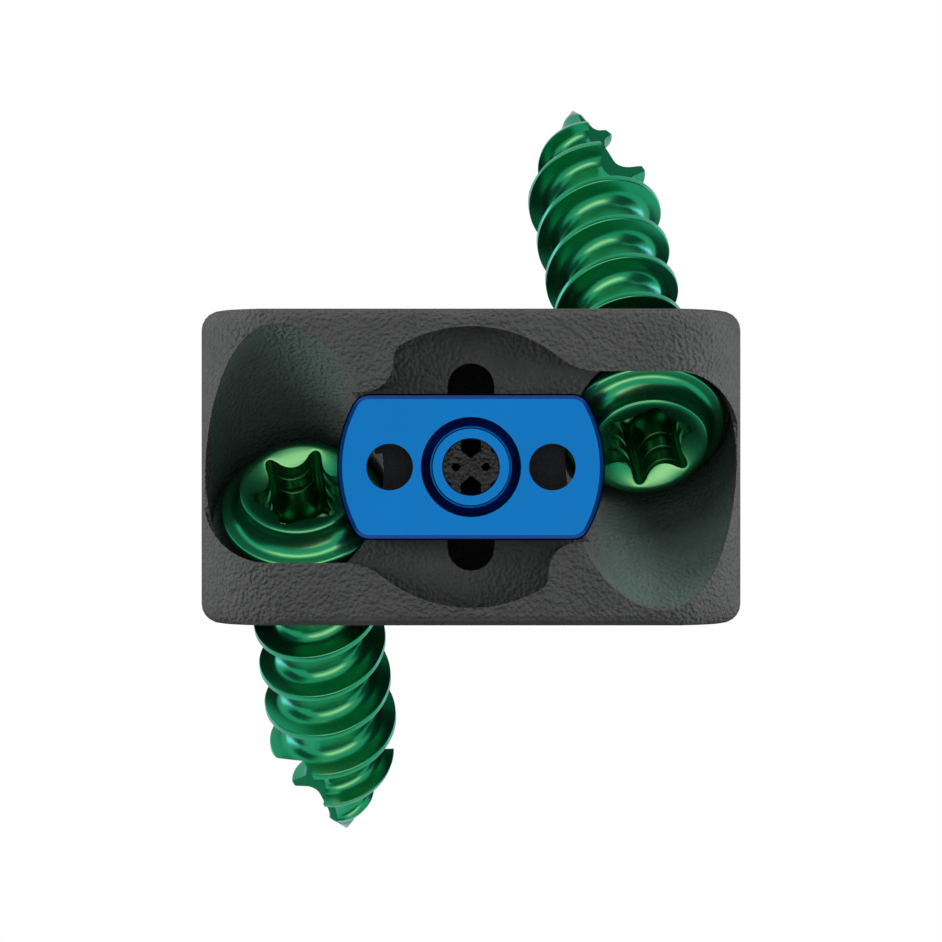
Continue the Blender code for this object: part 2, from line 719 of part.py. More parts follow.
def lobe_radius(angle):
    """Socket radius at an angle from a lobe's middle: a small round point between wide bulges."""
    part = 2.0 * math.pi / LOBE_COUNT
    turn = abs((angle + part / 2.0) % part - part / 2.0)
    point_centre = LOBE_OUTER_RADIUS - LOBE_POINT_RADIUS
    bulge_centre = LOBE_INNER_RADIUS + LOBE_BULGE_RADIUS
    point_square = LOBE_POINT_RADIUS ** 2 - (point_centre * math.sin(turn)) ** 2
    bulge_square = LOBE_BULGE_RADIUS ** 2 - (bulge_centre * math.sin(part / 2.0 - turn)) ** 2
    if bulge_square < 0.0:
        return point_centre * math.cos(turn) + math.sqrt(max(0.0, point_square))
    bulge = bulge_centre * math.cos(part / 2.0 - turn) - math.sqrt(bulge_square)
    if point_square < 0.0:
        return bulge
    return max(bulge, point_centre * math.cos(turn) + math.sqrt(point_square))


def lobe_cutter(name, frame, turn):
    """Six-lobe socket with a shallow drill point at its floor."""
    steps = LOBE_COUNT * 12
    bm = bmesh.new()
    rings = []
    for height in (HEAD_RISE - SOCKET_DEPTH, HEAD_RISE - 0.05 * MM):
        ring = []
        for index in range(steps):
            angle = 2.0 * math.pi * index / steps
            radius = lobe_radius(angle - turn)
            ring.append(bm.verts.new((radius * math.cos(angle), radius * math.sin(angle), height)))
        rings.append(ring)
    join_rings(bm, rings[0], rings[1])
    bm.faces.new(rings[1])
    point = bm.verts.new((0.0, 0.0, HEAD_RISE - SOCKET_DEPTH - SOCKET_POINT))
    for index in range(steps):
        bm.faces.new((rings[0][index], rings[0][(index + 1) % steps], point))
    cutter = add_object(name, bm)
    cutter.matrix_world = frame
    return cutter


def flute_cutter(name, frame, angle):
    """Cutting flute at the tip: a wedge taken out beside the axis, with a rounded run-out."""
    reach = 2.0 * THREAD_RADIUS
    top = -SCREW_LENGTH + FLUTE_LENGTH
    low = -SCREW_LENGTH - OVERCUT
    run_out = FLUTE_RUN_OUT_RADIUS
    outline = [(FLUTE_WEB, low)]
    outline += arc(FLUTE_WEB + run_out, top - run_out, run_out, math.pi, math.pi / 2.0, 5)
    outline += [(reach, top), (reach, low)]
    cutter = prism(name, outline, 0.0, reach)
    shear = Matrix.Identity(4)
    shear[0][1] = FLUTE_SPREAD
    shear[2][1] = FLUTE_RISE
    cutter.data.transform(shear)
    pivot = Matrix.Translation(Vector((0.0, 0.0, FLUTE_TILT_HEIGHT - SCREW_LENGTH)))
    tilt = pivot @ Matrix.Rotation(FLUTE_TILT, 4, "X") @ pivot.inverted()
    cutter.matrix_world = frame @ Matrix.Rotation(angle, 4, "Z") @ tilt
    return cutter


def make_bone_screw(side, thread_turn, socket_turn, material):
    """Screw in its seat: its thread start and its socket each have their own turn about the axis."""
    name = "bone_screw_" + side
    seat = screw_frame(side)
    frame = seat @ Matrix.Rotation(thread_turn, 4, "Z")
    screw = screw_blank(name, material)
    screw.matrix_world = frame
    cut(screw, lead_in_cutter(name + "_lead_in_guide", seat))
    cut(screw, lobe_cutter(name + "_lobe_guide", seat, socket_turn))
    for index in range(FLUTE_COUNT):
        angle = FLUTE_ANGLE + 2.0 * math.pi * index / FLUTE_COUNT
        cut(screw, flute_cutter(name + "_flute_guide_" + str(index), frame, angle))
    bake(screw)
    shade(screw, math.radians(34.0))
    return screw


def main():
    clear_scene()
    make_cage_body()
    make_lock_plate()
    make_pivot_sleeve()
    green = green_anodised()
    make_bone_screw("lower", LOWER_THREAD_TURN, LOWER_SOCKET_TURN, green)
    make_bone_screw("upper", UPPER_THREAD_TURN, UPPER_SOCKET_TURN, green)


main()
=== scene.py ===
"""Looks of the cervical interbody cage: fine screws, materials, studio, lights and camera.

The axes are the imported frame's: +X is right and +Z is up as seen from the front, and +Y runs back.
Lengths are in metres, and those of the object are written in millimetres times MM.
"""
import json
import math

import bmesh
import bpy
from mathutils import Matrix, Vector

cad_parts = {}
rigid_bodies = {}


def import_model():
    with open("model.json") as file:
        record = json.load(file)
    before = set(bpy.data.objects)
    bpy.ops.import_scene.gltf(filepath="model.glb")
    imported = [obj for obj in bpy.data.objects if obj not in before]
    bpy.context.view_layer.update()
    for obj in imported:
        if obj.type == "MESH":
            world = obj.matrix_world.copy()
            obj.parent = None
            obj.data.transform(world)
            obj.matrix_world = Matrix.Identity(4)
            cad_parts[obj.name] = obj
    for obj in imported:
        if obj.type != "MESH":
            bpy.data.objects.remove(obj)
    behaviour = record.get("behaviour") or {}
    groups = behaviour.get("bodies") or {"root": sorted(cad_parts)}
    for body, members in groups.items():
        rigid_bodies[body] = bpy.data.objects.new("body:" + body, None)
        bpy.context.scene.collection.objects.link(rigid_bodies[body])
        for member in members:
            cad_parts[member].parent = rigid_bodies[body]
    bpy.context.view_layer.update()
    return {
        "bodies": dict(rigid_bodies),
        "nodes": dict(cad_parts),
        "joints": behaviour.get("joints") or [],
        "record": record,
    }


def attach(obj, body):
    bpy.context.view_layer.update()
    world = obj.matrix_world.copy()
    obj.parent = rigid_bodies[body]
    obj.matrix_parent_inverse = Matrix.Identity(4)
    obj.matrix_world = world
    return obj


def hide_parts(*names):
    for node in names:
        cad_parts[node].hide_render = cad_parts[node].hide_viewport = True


MM = 0.001

# Place of the screws. The solids' own values, apart from UPPER_SOCKET_TURN, which fits this
# finer socket.
FRONT_Y = -7.0 * MM
SCREW_TILT = math.radians(42.0)
LOWER_SCREW_LEAN = math.radians(7.5)
UPPER_SCREW_LEAN = math.radians(12.3)
LOWER_SCREW_X = 5.3 * MM
UPPER_SCREW_X = 5.43 * MM
LOWER_THREAD_TURN = math.radians(56.0)
UPPER_THREAD_TURN = math.radians(-121.0)
LOWER_SOCKET_TURN = math.radians(5.4)
UPPER_SOCKET_TURN = math.radians(11.5)
SEAT_Z = 1.28 * MM
SEAT_DEPTH = 2.44 * MM

# Thread and shank. The solids' own values, with a rounded crest added.
SCREW_LENGTH = 15.4 * MM
THREAD_RADIUS = 2.05 * MM
CORE_RADIUS = 1.35 * MM
THREAD_PITCH = 1.88 * MM
THREAD_CREST = 0.24 * MM
THREAD_FLANK = math.radians(12.0)
THREAD_ROOT_RADIUS = 0.45 * MM
THREAD_CREST_RADIUS = 0.045 * MM
THREAD_RUN_OUT = 1.6 * MM
NECK_RADIUS = 1.9 * MM
NECK_HEIGHT = 0.72 * MM
NECK_FLARE_HEIGHT = 0.08 * MM
CORE_FLARE_RADIUS = 1.88 * MM
CORE_FLARE_LENGTH = 3.28 * MM
TIP_CONE_SLOPE = 0.61
TIP_SHOULDER_SLOPE = 0.34
TIP_SHOULDER_LENGTH = 4.2 * MM
TIP_CORE_SLOPE = 0.25
TIP_CORE_RADIUS = 0.22 * MM
FLUTE_LENGTH = 4.2 * MM
FLUTE_WEB = 0.15 * MM
FLUTE_SPREAD = 0.32
FLUTE_RISE = 0.32
FLUTE_TILT = math.radians(8.0)
FLUTE_TILT_HEIGHT = 3.0 * MM
FLUTE_RUN_OUT_RADIUS = 0.5 * MM
FLUTE_ANGLE = math.radians(124.0)
FLUTE_COUNT = 2

# Head, its six-lobe socket and the extractor thread cut across the lobes. The two lobe radii
# LOBE_POINT_RADIUS and LOBE_BULGE_RADIUS are this finer socket's own.
FLANGE_RADIUS = 2.62 * MM
FLANGE_THICKNESS = 0.34 * MM
FLANGE_EDGE = 0.1 * MM
HEAD_WALL_RADIUS = 1.93 * MM
HEAD_RISE = 1.0 * MM
HEAD_FILLET_WIDTH = 0.41 * MM
HEAD_FILLET_HEIGHT = 0.6 * MM
RIM_BEVEL = 0.05 * MM
SOCKET_MOUTH_RADIUS = 1.66 * MM
LEAD_IN_SLOPE = 0.577
LOBE_OUTER_RADIUS = 1.6 * MM
LOBE_INNER_RADIUS = 1.13 * MM
LOBE_POINT_RADIUS = 0.2 * MM
LOBE_POINT_LIMIT = 0.3 * LOBE_POINT_RADIUS
LOBE_BULGE_RADIUS = 0.75 * MM
LOBE_COUNT = 6
SOCKET_DEPTH = 3.05 * MM
SOCKET_POINT = 0.45 * MM
GROOVE_PITCH = 0.64 * MM
GROOVE_RADIUS = 1.5 * MM
GROOVE_SLOPE = 0.35
GROOVE_LAND = 0.004 * MM
GROOVE_END = math.radians(60.0)
LOWER_GROOVE_START = 0.6 * MM
UPPER_GROOVE_START = 0.23 * MM
LOWER_GROOVE_TURNS = 2
UPPER_GROOVE_TURNS = 3

# Fineness of the screws' meshes. The shares split an arc or a length from its start to its end.
SCREW_STEPS = 144
SOCKET_SPLIT = 3
CREST_ANGLES = (90.0, 64.0, 38.0, 12.0)
ROOT_SHARES = (0.0, 0.2, 0.4, 0.6, 0.8, 1.0)
FLANGE_SHARES = (0.0, 0.25, 0.5, 0.75, 1.0)
FILLET_STEPS = 12
RIM_SHARES = (0.0, 0.33, 0.67, 1.0)
SOCKET_WALL_SHARES = (0.33, 0.67, 1.0)
FLUTE_ARC_STEPS = 12
OVERCUT = 1.0 * MM
WELD_DISTANCE = 0.00005 * MM
SHARP_ANGLE = math.radians(36.0)

# Front corners of the body, the same values as the solids
CORNER_RADIUS = 2.5 * MM
CORNER_START = 6.0 * MM

# Zones of the body's material, each as the values at which its mask is 0 and 1: depth behind the
# front, distance sideways and upwards from the middle, place along +Y, and distance sideways for
# the painted green reflection of the screws
INNER_DEPTH = (0.03 * MM, 0.14 * MM)
INNER_SIDE = (8.25 * MM, 8.15 * MM)
INNER_RISE = (4.45 * MM, 4.35 * MM)
INNER_REAR = (3.6 * MM, 3.2 * MM)
# Sideways distance at which the painted green reflection of the screws starts and is full
SCREW_BOUNCE_SIDE = (3.4 * MM, 4.8 * MM)

# Noise of the materials: scale in cells per metre, then detail
WORMS = (8500.0, 0.0)
WORM_DISTORTION = 0.15
GRAINS = (15000.0, 0.0)
GRAIN_SHARE = 0.3
PRINT_MEAN_HEIGHT = 0.65
BODY_MOTTLE = (900.0, 3.0)
BODY_MOTTLE_ROUGHNESS = 0.6
BLUE_GRAIN = (16000.0, 1.0)
BLUE_CLOUD = (500.0, 2.0)
GREEN_GRAIN = (12000.0, 1.0)
GREEN_CLOUD = (900.0, 2.0)
PRINT_RELIEF = 0.12 * MM
PRINT_RELIEF_SHARES = (1.0, 0.6)
BLUE_RELIEF = 0.0008 * MM

# Colours and finishes: a pair is the range over which the noise varies it. The blue's facing pair is
# the part of a face's normal along Y at which its painted shade begins, and at which it is full.
MOTTLE_STOPS = (0.3, 0.7)
OUTER_TONES = ((0.064, 0.065, 0.065), (0.075, 0.076, 0.076))
RECESS_TONES = ((0.064, 0.066, 0.066), (0.076, 0.078, 0.077))
# Painted green reflection of the screws on the body next to them, a little lighter than the rest
SCREW_BOUNCE_TONES = ((0.054, 0.078, 0.068), (0.066, 0.094, 0.083))
BODY_ROUGHNESS = (0.55, 0.75)
BLUE_TONES = ((0.0035, 0.168, 0.49), (0.004, 0.178, 0.515))
# Painted shade on the plate's bevels, sides and countersinks, which turn away from the front
BLUE_SHADE_TONE = (0.001, 0.032, 0.14)
BLUE_SHADE_FACING = (0.996, 0.97)
BLUE_EDGE_TINT = (0.02, 0.3, 0.8, 1.0)
BLUE_ROUGHNESS = (0.26, 0.36)
GREEN_TONES = ((0.011, 0.26, 0.112), (0.014, 0.29, 0.125))
GREEN_EDGE_TINT = (0.85, 0.82, 1.0, 1.0)
GREEN_ROUGHNESS = (0.22, 0.29)
GREEN_METALLIC = 0.97
BARE_TIP_TONE = (0.2, 0.19, 0.19)
BARE_TIP_LENGTH = (0.5 * MM, 0.4 * MM)

# Studio: the world's strength on matt surfaces and where it is seen, and the floor
WHITE = (1.0, 1.0, 1.0, 1.0)
WORLD_STRENGTH = (0.47, 1.0)
FLOOR_RADIUS = 0.9
FLOOR_STEPS = 96
FLOOR_Z = -60.0 * MM
FLOOR_COLOUR = (0.8, 0.8, 0.8, 1.0)
FLOOR_ROUGHNESS = 0.9
FLOOR_SEEN_GLOW = 0.45

# Boards that are seen only in reflections: dark flags at the sides, above and below, warm ones
# in front, above and below, and cool ones behind that light the rims.
# Name, azimuth and elevation in degrees, distance, size, and light given off.
DARK_SIDE = (0.1, 0.12, 0.13)
DARK_END = (0.2, 0.24, 0.26)
WARM = (25.0, 2.6, 2.4)
COOL = (3.4, 3.0, 4.7)
BOARDS = (
    ("flag_left", -76.0, -12.0, 0.2, (0.18, 0.3), DARK_SIDE),
    ("flag_right", 76.0, 12.0, 0.2, (0.18, 0.3), DARK_SIDE),
    ("flag_top", 0.0, 80.0, 0.2, (0.3, 0.09), DARK_END),
    ("flag_bottom", 0.0, -78.0, 0.055, (0.08, 0.024), DARK_END),
    ("glow_high", 0.0, 35.0, 0.2, (0.26, 0.085), WARM),
    ("glow_low", 0.0, -38.0, 0.08, (0.104, 0.034), WARM),
    ("rim_left", -126.0, 0.0, 0.2, (0.06, 0.2), COOL),
    ("rim_right", 126.0, 0.0, 0.2, (0.06, 0.2), COOL),
)

# Lamps that light matt surfaces: name, place, width, and power in watts
LAMPS = (
    ("lamp_left", (-0.026, -0.0125, 0.002), 0.008, 0.0046),
    ("lamp_right", (0.026, -0.0125, 0.002), 0.008, 0.005),
    ("lamp_top", (0.0, -0.018, 0.04), 0.02, 0.013),
    ("lamp_rear_left", (-0.18, 0.18, 0.1), 0.15, 0.15),
    ("lamp_rear_right", (0.18, 0.18, 0.1), 0.15, 0.15),
)

# Camera: the photograph's frame is 29.66 mm wide at the front face
VIEW_WIDTH = 29.66 * MM
VIEW_Z = -0.126 * MM
LENS = 1500.0
SENSOR = 36.0
CLIP_START = 0.1
CLIP_END = 10.0


def arc(centre_x, centre_z, radius, start, end, steps):
    """Points of an arc in a plane, both ends included."""
    points = []
    for index in range(steps + 1):
        angle = start + (end - start) * index / steps
        points.append((centre_x + radius * math.cos(angle), centre_z + radius * math.sin(angle)))
    return points


def quarter_arc(shares):
    """At shares of a quarter turn, a value that falls from 1 to 0 and one that rises to 1."""
    angles = [share * math.pi / 2.0 for share in shares]
    return [(1.0 - math.sin(angle), 1.0 - math.cos(angle)) for angle in angles]


def around(radius, angle, height):
    """Point at a radius, an angle and a height about local Z."""
    return (radius * math.cos(angle), radius * math.sin(angle), height)


def add_object(name, bm):
    """Turn a bmesh into a linked object with outward normals."""
    bmesh.ops.recalc_face_normals(bm, faces=bm.faces)
    mesh = bpy.data.meshes.new(name)
    bm.to_mesh(mesh)
    bm.free()
    item = bpy.data.objects.new(name, mesh)
    bpy.context.scene.collection.objects.link(item)
    return item


def join_rings(bm, first, second):
    """Close the band between two rings that have the same number of points."""
    count = len(first)
    for index in range(count):
        after = (index + 1) % count
        bm.faces.new((first[index], first[after], second[after], second[index]))


def join_split_rings(bm, coarse, fine):
    """Join a ring to one that has several points for each of its own."""
    split = len(fine) // len(coarse)
    for index in range(len(coarse)):
        after = (index + 1) % len(coarse)
        run = [fine[(index * split + step) % len(fine)] for step in range(split + 1)]
        bm.faces.new([coarse[index], coarse[after]] + run[::-1])


def seat_frame(side):
    """Placement of a screw axis: origin at the flange centre, local Z from tip to head."""
    upper = side == "upper"
    lean = UPPER_SCREW_LEAN if upper else LOWER_SCREW_LEAN
    offset = UPPER_SCREW_X if upper else LOWER_SCREW_X
    turn = Matrix.Rotation(math.pi, 4, "Y") if upper else Matrix.Identity(4)
    place = Matrix.Translation(Vector((-offset, FRONT_Y + SEAT_DEPTH, -SEAT_Z)))
    swing = Matrix.Rotation(-lean, 4, "Y")
    tip_up = Matrix.Rotation(math.pi / 2.0 - SCREW_TILT, 4, "X")
    return turn @ place @ swing @ tip_up


def thread_section():
    """Offsets from the crest's middle and shares of the thread height, over one pitch."""
    height = THREAD_RADIUS - CORE_RADIUS
    edge = THREAD_CREST_RADIUS
    reach = THREAD_CREST / 2.0 - edge * math.tan((math.pi / 2.0 - THREAD_FLANK) / 2.0)
    meet_height = THREAD_ROOT_RADIUS * (1.0 - math.sin(THREAD_FLANK))
    meet_offset = THREAD_CREST / 2.0 + (height - meet_height) * math.tan(THREAD_FLANK)
    root_offset = meet_offset + THREAD_ROOT_RADIUS * math.cos(THREAD_FLANK)
    falling = []
    for degrees in CREST_ANGLES:
        angle = math.radians(degrees)
        falling.append((reach + edge * math.cos(angle), height - edge + edge * math.sin(angle)))
    for share in ROOT_SHARES:
        angle = (math.pi / 2.0 - THREAD_FLANK) * (1.0 - share)
        offset = root_offset - THREAD_ROOT_RADIUS * math.sin(angle)
        falling.append((offset, THREAD_ROOT_RADIUS * (1.0 - math.cos(angle))))
    rising = [(-offset, level) for offset, level in reversed(falling)]
    return [(offset, level / height) for offset, level in rising + falling]


def core_radius_at(height):
    """Radius of the screw's core, tapering to the tip and flaring out around the socket."""
    from_tip = height + SCREW_LENGTH
    taper = TIP_CORE_RADIUS + TIP_CORE_SLOPE * from_tip
    flare = max(0.0, 1.0 + (height + NECK_HEIGHT) / CORE_FLARE_LENGTH)
    core = CORE_RADIUS + (CORE_FLARE_RADIUS - CORE_RADIUS) * flare
    return min(core, taper, TIP_CONE_SLOPE * from_tip)


def crest_radius_at(height):
    """Radius of the thread's crest, tapering to the tip and running out under the head."""
    from_tip = height + SCREW_LENGTH
    shoulder = THREAD_RADIUS - TIP_SHOULDER_SLOPE * (TIP_SHOULDER_LENGTH - from_tip)
    radius = min(THREAD_RADIUS, shoulder, TIP_CONE_SLOPE * from_tip)
    core = core_radius_at(height)
    fade = max(0.0, min(1.0, (-NECK_HEIGHT - height) / THREAD_RUN_OUT))
    return core + max(0.0, radius - core) * fade


def thread_row(bm, start, level):
    """One line of the thread's surface, rising by a pitch in one turn and held between its ends."""
    row = []
    for index in range(SCREW_STEPS + 1):
        angle = 2.0 * math.pi * index / SCREW_STEPS
        height = start + THREAD_PITCH * index / SCREW_STEPS
        height = max(-SCREW_LENGTH, min(-NECK_HEIGHT, height))
        core = core_radius_at(height)
        radius = core + (crest_radius_at(height) - core) * level
        row.append(bm.verts.new(around(radius, angle, height)))
    return row


def head_profile():
    """Heights and radii of the head from the neck up to its rim."""
    half = FLANGE_THICKNESS / 2.0
    edge = FLANGE_EDGE
    profile = [
        (-NECK_HEIGHT, CORE_FLARE_RADIUS),
        (-NECK_HEIGHT + NECK_FLARE_HEIGHT, NECK_RADIUS),
        (-half, FLANGE_RADIUS - edge / 2.0),
        (-half + edge / 2.0, FLANGE_RADIUS),
    ]
    for fall, rise in quarter_arc(FLANGE_SHARES):
        profile.append((half - edge * fall, FLANGE_RADIUS - edge * rise))
    for fall, rise in quarter_arc([step / FILLET_STEPS for step in range(FILLET_STEPS + 1)]):
        radius = HEAD_WALL_RADIUS + HEAD_FILLET_WIDTH * fall
        profile.append((half + HEAD_FILLET_HEIGHT * rise, radius))
    for fall, rise in quarter_arc(RIM_SHARES):
        profile.append((HEAD_RISE - RIM_BEVEL * fall, HEAD_WALL_RADIUS - RIM_BEVEL * rise))
    return profile


def lathe_ring(bm, height, radius):
    """Level ring of points about local Z."""
    ring = []
    for index in range(SCREW_STEPS):
        angle = 2.0 * math.pi * index / SCREW_STEPS
        ring.append(bm.verts.new(around(radius, angle, height)))
    return ring


def lobe_radius(angle):
    """Socket radius at an angle from a lobe's middle: small round points between wide bulges."""
    part = 2.0 * math.pi / LOBE_COUNT
    turn = abs((angle + part / 2.0) % part - part / 2.0)
    point_centre = LOBE_OUTER_RADIUS - LOBE_POINT_RADIUS
    bulge_centre = LOBE_INNER_RADIUS + LOBE_BULGE_RADIUS
    point_square = LOBE_POINT_RADIUS ** 2 - (point_centre * math.sin(turn)) ** 2
    bulge_square = LOBE_BULGE_RADIUS ** 2 - (bulge_centre * math.sin(part / 2.0 - turn)) ** 2
    bulge = LOBE_OUTER_RADIUS
    if bulge_square > 0.0:
        bulge = bulge_centre * math.cos(part / 2.0 - turn) - math.sqrt(bulge_square)
    if point_square < LOBE_POINT_LIMIT ** 2:
        return bulge
    return min(bulge, point_centre * math.cos(turn) + math.sqrt(point_square))


def socket_column(angle, start, turns):
    """Depths below the rim and radii down the socket's wall at one angle from the first lobe."""
    wall = lobe_radius(angle)
    lead = (SOCKET_MOUTH_RADIUS - wall) * LEAD_IN_SLOPE
    column = [(0.0, SOCKET_MOUTH_RADIUS)]
    last = lead
    for turn in range(turns + 1):
        middle = start + GROOVE_PITCH * (turn + angle / (2.0 * math.pi))
        depth = max(0.0, GROOVE_RADIUS - wall)
        if turn == turns and angle > GROOVE_END:
            depth = 0.0
        half = max(GROOVE_LAND, depth * GROOVE_SLOPE)
        if turn == 0:
            top = max(lead, middle - half)
            column.append((min(lead, top), wall))
            column.append(((lead + top) / 2.0, wall))
        column.append((max(last, middle - half), wall))
        column.append((max(last, middle), wall + depth))
        column.append((max(last, middle + half), wall))
        last = column[-1][0]
    for share in SOCKET_WALL_SHARES:
        column.append((last + (SOCKET_DEPTH - last) * share, wall))
    return column


def socket_rings(bm, turn, start, turns):
    """Rings of the lead-in cone, the lobed wall and the grooves, from the rim to the floor."""
    steps = SCREW_STEPS * SOCKET_SPLIT
    columns = []
    for index in range(steps):
        angle = (2.0 * math.pi * index / steps - turn) % (2.0 * math.pi)
        columns.append(socket_column(angle, start, turns))
    rings = []
    for level in range(len(columns[0])):
        ring = []
        for index, column in enumerate(columns):
            depth, radius = column[level]
            angle = 2.0 * math.pi * index / steps
            ring.append(bm.verts.new(around(radius, angle, HEAD_RISE - depth)))
        rings.append(ring)
    return rings


def screw_blank(name, socket_turn, groove_start, groove_turns):
    """Threaded shank, head and socket as one closed shell about local Z, before its flutes."""
    bm = bmesh.new()
    section = thread_section()
    grid = []
    for turn in range(math.ceil((SCREW_LENGTH - NECK_HEIGHT) / THREAD_PITCH) + 2):
        for offset, level in section:
            start = -SCREW_LENGTH + (turn - 1) * THREAD_PITCH + offset
            grid.append(thread_row(bm, start, level))
    for lower, upper in zip(grid, grid[1:]):
        for index in range(SCREW_STEPS):
            bm.faces.new((lower[index], lower[index + 1], upper[index + 1], upper[index]))
    head = [lathe_ring(bm, height, radius) for height, radius in head_profile()]
    socket = socket_rings(bm, socket_turn, groove_start, groove_turns)
    for rings in (head, socket):
        for lower, upper in zip(rings, rings[1:]):
            join_rings(bm, lower, upper)
    join_split_rings(bm, head[-1], socket[0])
    point = bm.verts.new((0.0, 0.0, HEAD_RISE - SOCKET_DEPTH - SOCKET_POINT))
    floor = socket[-1]
    for vertex, after in zip(floor, floor[1:] + floor[:1]):
        bm.faces.new((vertex, after, point))
    bmesh.ops.remove_doubles(bm, verts=bm.verts, dist=WELD_DISTANCE)
    return add_object(name, bm)


def flute_cutter(name, frame, angle):
    """Cutting flute at the tip: a wedge taken out beside the axis, with a rounded run-out."""
    reach = 2.0 * THREAD_RADIUS
    top = -SCREW_LENGTH + FLUTE_LENGTH
    low = -SCREW_LENGTH - OVERCUT
    run_out = FLUTE_RUN_OUT_RADIUS
    outline = [(FLUTE_WEB, low)]
    outline += arc(FLUTE_WEB + run_out, top - run_out, run_out,
                   math.pi, math.pi / 2.0, FLUTE_ARC_STEPS)
    outline += [(reach, top), (reach, low)]
    spread, rise = FLUTE_SPREAD * reach, FLUTE_RISE * reach
    bm = bmesh.new()
    front = [bm.verts.new((x, 0.0, z)) for x, z in outline]
    back = [bm.verts.new((x + spread, reach, z + rise)) for x, z in outline]
    join_rings(bm, front, back)
    bm.faces.new(front)
    bm.faces.new(reversed(back))
    cutter = add_object(name, bm)
    pivot = Matrix.Translation(Vector((0.0, 0.0, FLUTE_TILT_HEIGHT - SCREW_LENGTH)))
    tilt = pivot @ Matrix.Rotation(FLUTE_TILT, 4, "X") @ pivot.inverted()
    cutter.matrix_world = frame @ Matrix.Rotation(angle, 4, "Z") @ tilt
    return cutter


def cut_flutes(screw, frame):
    """Cut the flutes out of the screw and keep only its final mesh."""
    cutters = []
    for index in range(FLUTE_COUNT):
        angle = FLUTE_ANGLE + 2.0 * math.pi * index / FLUTE_COUNT
        cutter = flute_cutter(screw.name + "_flute_" + str(index), frame, angle)
        modifier = screw.modifiers.new(cutter.name, "BOOLEAN")
        modifier.operation = "DIFFERENCE"
        modifier.solver = "EXACT"
        modifier.object = cutter
        cutters.append(cutter)
    bpy.context.view_layer.update()
    graph = bpy.context.evaluated_depsgraph_get()
    mesh = bpy.data.meshes.new_from_object(screw.evaluated_get(graph))
    screw.modifiers.clear()
    screw.data = mesh
    mesh.name = screw.name
    for cutter in cutters:
        bpy.data.objects.remove(cutter, do_unlink=True)


def mark_tip(mesh):
    """Keep each point's distance from the tip, which the material reads for the bare end."""
    marks = mesh.attributes.new("from_tip", "FLOAT", "POINT")
    for vertex, mark in zip(mesh.vertices, marks.data):
        mark.value = vertex.co.z + SCREW_LENGTH


def make_bone_screw(side, material):
    """Fine screw that stands for the solid one on the same axis, with the same thread start."""
    upper = side == "upper"
    thread_turn = UPPER_THREAD_TURN if upper else LOWER_THREAD_TURN
    socket_turn = UPPER_SOCKET_TURN if upper else LOWER_SOCKET_TURN
    start = UPPER_GROOVE_START if upper else LOWER_GROOVE_START
    turns = UPPER_GROOVE_TURNS if upper else LOWER_GROOVE_TURNS
    frame = seat_frame(side) @ Matrix.Rotation(thread_turn, 4, "Z")
    screw = screw_blank("fine_screw_" + side, socket_turn - thread_turn, start, turns)
    screw.matrix_world = frame
    cut_flutes(screw, frame)
    mark_tip(screw.data)
    screw.data.transform(frame)
    screw.matrix_world = Matrix.Identity(4)
    screw.data.shade_smooth()
    screw.data.set_sharp_from_angle(angle=SHARP_ANGLE)
    screw.data.materials.clear()
    screw.data.materials.append(material)
    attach(screw, "cage")
    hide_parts("bone_screw_" + side)


def add_node(tree, kind, **settings):
    """New shader node with the given properties."""
    node = tree.nodes.new(kind)
    for name, value in settings.items():
        setattr(node, name, value)
    return node


def math_node(tree, operation, first, second=None, clamp=False):
    """Math node fed by sockets or plain numbers; returns its output."""
    node = add_node(tree, "ShaderNodeMath", operation=operation, use_clamp=clamp)
    for socket, value in zip(node.inputs, (first, second)):
        if value is None:
            continue
        if isinstance(value, (int, float)):
            socket.default_value = value
        else:
            tree.links.new(value, socket)
    return node.outputs[0]


def noise(tree, scale, detail, roughness=0.5, distortion=0.0):
    """Noise in the object's own coordinates; returns its value."""
    place = add_node(tree, "ShaderNodeTexCoord")
    node = add_node(tree, "ShaderNodeTexNoise")
    node.inputs["Scale"].default_value = scale
    node.inputs["Detail"].default_value = detail
    node.inputs["Roughness"].default_value = roughness
    node.inputs["Distortion"].default_value = distortion
    tree.links.new(place.outputs["Object"], node.inputs["Vector"])
    return node.outputs["Fac"]


def mottled(tree, value, tones):
    """Colour that goes from one tone to another as a noise rises; returns the colour."""
    node = add_node(tree, "ShaderNodeValToRGB")
    for element, position, tone in zip(node.color_ramp.elements, MOTTLE_STOPS, tones):
        element.position = position
        element.color = (*tone, 1.0)
    tree.links.new(value, node.inputs["Fac"])
    return node.outputs["Color"]


def span(tree, value, low, high):
    """Map a value from 0..1 to low..high."""
    node = add_node(tree, "ShaderNodeMapRange")
    node.inputs["To Min"].default_value = low
    node.inputs["To Max"].default_value = high
    tree.links.new(value, node.inputs["Value"])
    return node.outputs["Result"]


def step_between(tree, value, start, end):
    """Smooth step of a value from 0 at start to 1 at end."""
    step = add_node(tree, "ShaderNodeMapRange", interpolation_type="SMOOTHSTEP")
    step.inputs["From Min"].default_value = start
    step.inputs["From Max"].default_value = end
    tree.links.new(value, step.inputs["Value"])
    return step.outputs["Result"]


def bump(tree, value, distance):
    """Relief of the given depth from a value; returns the bent normal."""
    node = add_node(tree, "ShaderNodeBump")
    node.inputs["Distance"].default_value = distance
    tree.links.new(value, node.inputs["Height"])
    return node.outputs["Normal"]


def mixed(tree, factor, first, second):
    """Mix of two colours, each a socket or plain numbers."""
    mix = add_node(tree, "ShaderNodeMix", data_type="RGBA")
    tree.links.new(factor, mix.inputs["Factor"])
    for name, colour in (("A", first), ("B", second)):
        if isinstance(colour, tuple):
            mix.inputs[name].default_value = (*colour, 1.0)
        else:
            tree.links.new(colour, mix.inputs[name])
    return mix.outputs["Result"]


def new_material(name):
    """Material with its node tree and its Principled shader."""
    material = bpy.data.materials.new(name)
    material.use_nodes = True
    tree = material.node_tree
    return material, tree, tree.nodes["Principled BSDF"]


